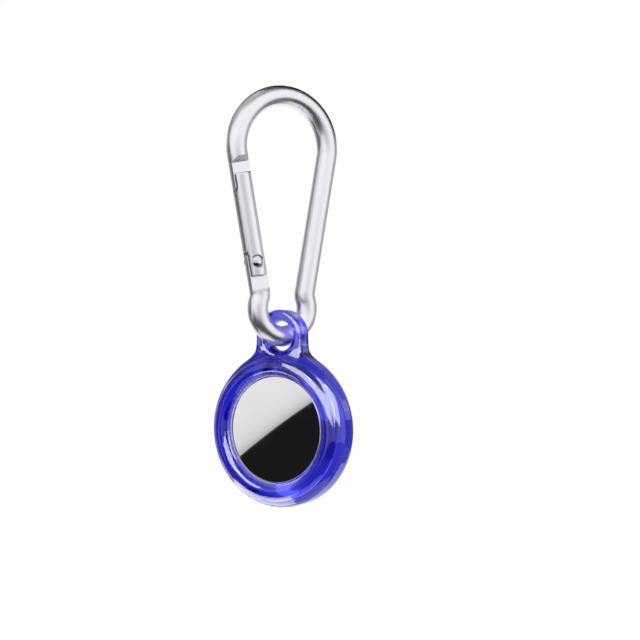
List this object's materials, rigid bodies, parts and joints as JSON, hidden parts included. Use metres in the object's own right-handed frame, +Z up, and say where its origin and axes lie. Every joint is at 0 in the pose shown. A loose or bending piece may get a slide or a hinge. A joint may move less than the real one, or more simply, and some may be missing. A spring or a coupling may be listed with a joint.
{
  "type": "tracker tag holder",
  "caption": "Pear-shaped spring-gate carabiner with a soft see-through case hanging from it by a moulded eyelet, holding a round tracker tag.",
  "frame": {"origin": "the hang point: the inner surface of the carabiner's big loop at its highest point, on the rod's middle plane", "axes": "+Z up along the height, X across the carabiner with the gate on the -X side, +Y square to the carabiner's plane, away from the viewer"},
  "size_m": [0.03, 0.035, 0.102],
  "materials": {
    "bare_aluminium": "satin, fine blasted grain",
    "rivet_steel": "polished",
    "turned_brass": "turned",
    "spring_wire": "drawn wire",
    "blue_case": "see-through, glossy, slightly soft",
    "white_shell": "glossy",
    "cover_steel": "polished",
    "seal_rubber": "matt",
    "cell_steel": "plated",
    "tray_plastic": "moulded",
    "contact_gold": "gold plated",
    "board_green": "solder resist",
    "chip_black": "moulded",
    "shield_steel": "tinned",
    "antenna_plastic": "moulded",
    "cup_steel": "plated",
    "pad_rubber": "matt",
    "magnet_grey": "plated",
    "coil_copper": "enamelled wire"
  },
  "bodies": {
    "carabiner": {"carabiner_body": "bare_aluminium"},
    "gate": {"carabiner_gate": "bare_aluminium", "gate_rivet": "rivet_steel", "gate_spring": "spring_wire"},
    "plunger": {"gate_plunger": "turned_brass"},
    "case": {"tag_case": "blue_case", "tag_shell": "white_shell", "coin_cell": "cell_steel", "battery_tray": "tray_plastic", "battery_contacts": "contact_gold", "circuit_board": "board_green", "board_chips": "chip_black", "radio_shield": "shield_steel", "antenna_ring": "antenna_plastic", "magnet_cup": "cup_steel", "magnet_pad": "pad_rubber", "speaker_magnet": "magnet_grey", "voice_coil": "coil_copper"},
    "cover": {"battery_cover": "cover_steel", "cover_seal": "seal_rubber"}
  },
  "joints": [
    {"name": "gate_hinge", "type": "hinge", "parent": "carabiner", "child": "gate", "pos_m": [-0.00797, 0, -0.03777], "axis": [0, 1, 0], "range_deg": [0, 28], "stiffness_Nm_per_rad": 0.02, "springref_deg": -20.05},
    {"name": "plunger_slide", "type": "slide", "parent": "gate", "child": "plunger", "axis": [-0.1823, 0, 0.9832], "range_m": [0, 0.00062], "deforming": ["gate_spring"]},
    {"name": "case_swing", "type": "hinge", "parent": "carabiner", "child": "case", "pos_m": [0, 0, -0.05565], "axis": [-0.8829, -0.4695, 0], "range_deg": [-60, 60]},
    {"name": "cover_turn", "type": "hinge", "parent": "case", "child": "cover", "pos_m": [0, 0, -0.0782], "axis": [-0.8829, -0.4695, 0], "range_deg": [0, 20]}
  ],
  "couplings": [
    {"joint": "gate_hinge", "follows": "plunger_slide", "rad_per_m": 788.2}
  ]
}
